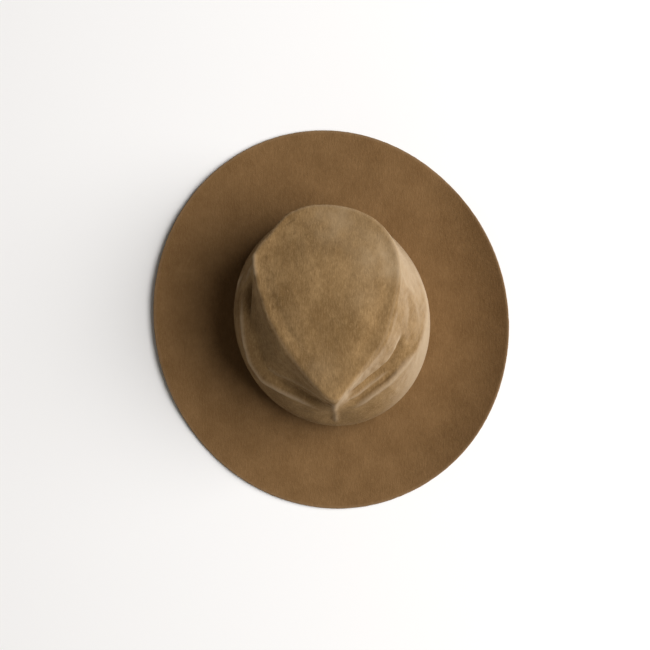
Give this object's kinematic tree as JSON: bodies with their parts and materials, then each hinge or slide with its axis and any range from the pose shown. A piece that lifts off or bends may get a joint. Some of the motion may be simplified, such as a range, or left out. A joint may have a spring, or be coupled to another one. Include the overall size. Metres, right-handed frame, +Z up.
{
  "type": "fedora hat",
  "caption": "Soft felt fedora with a teardrop crown, pinched front and wide raw-edged brim, with sweatband and lining inside.",
  "frame": {"origin": "middle of the brim's outline, on the flat surface the hat rests on", "axes": "+Z up through the crown, -Y the front of the hat, +X the wearer's left"},
  "size_m": [0.3356, 0.3592, 0.1145],
  "materials": {
    "felt": "napped brown wool felt, matt",
    "leather": "smooth brown sweatband leather",
    "satin": "bronze satin",
    "ribbon": "dark brown woven tape",
    "thread": "tan cotton thread",
    "reed_plastic": "translucent off-white plastic",
    "label": "blank cream woven label"
  },
  "bodies": {
    "root": {"crown_felt": "felt", "brim_felt": "felt", "crown_seam_thread": "thread", "sweatband": "leather", "sweatband_reed": "reed_plastic", "reed_tape": "ribbon", "band_stitching": "thread", "sweatband_splice": "ribbon", "splice_thread": "thread", "bow_loop_left": "ribbon", "bow_loop_right": "ribbon", "bow_knot": "ribbon", "lining_side": "satin", "lining_tip": "satin", "lining_piping": "ribbon", "size_tag": "label"}
  },
  "joints": []
}
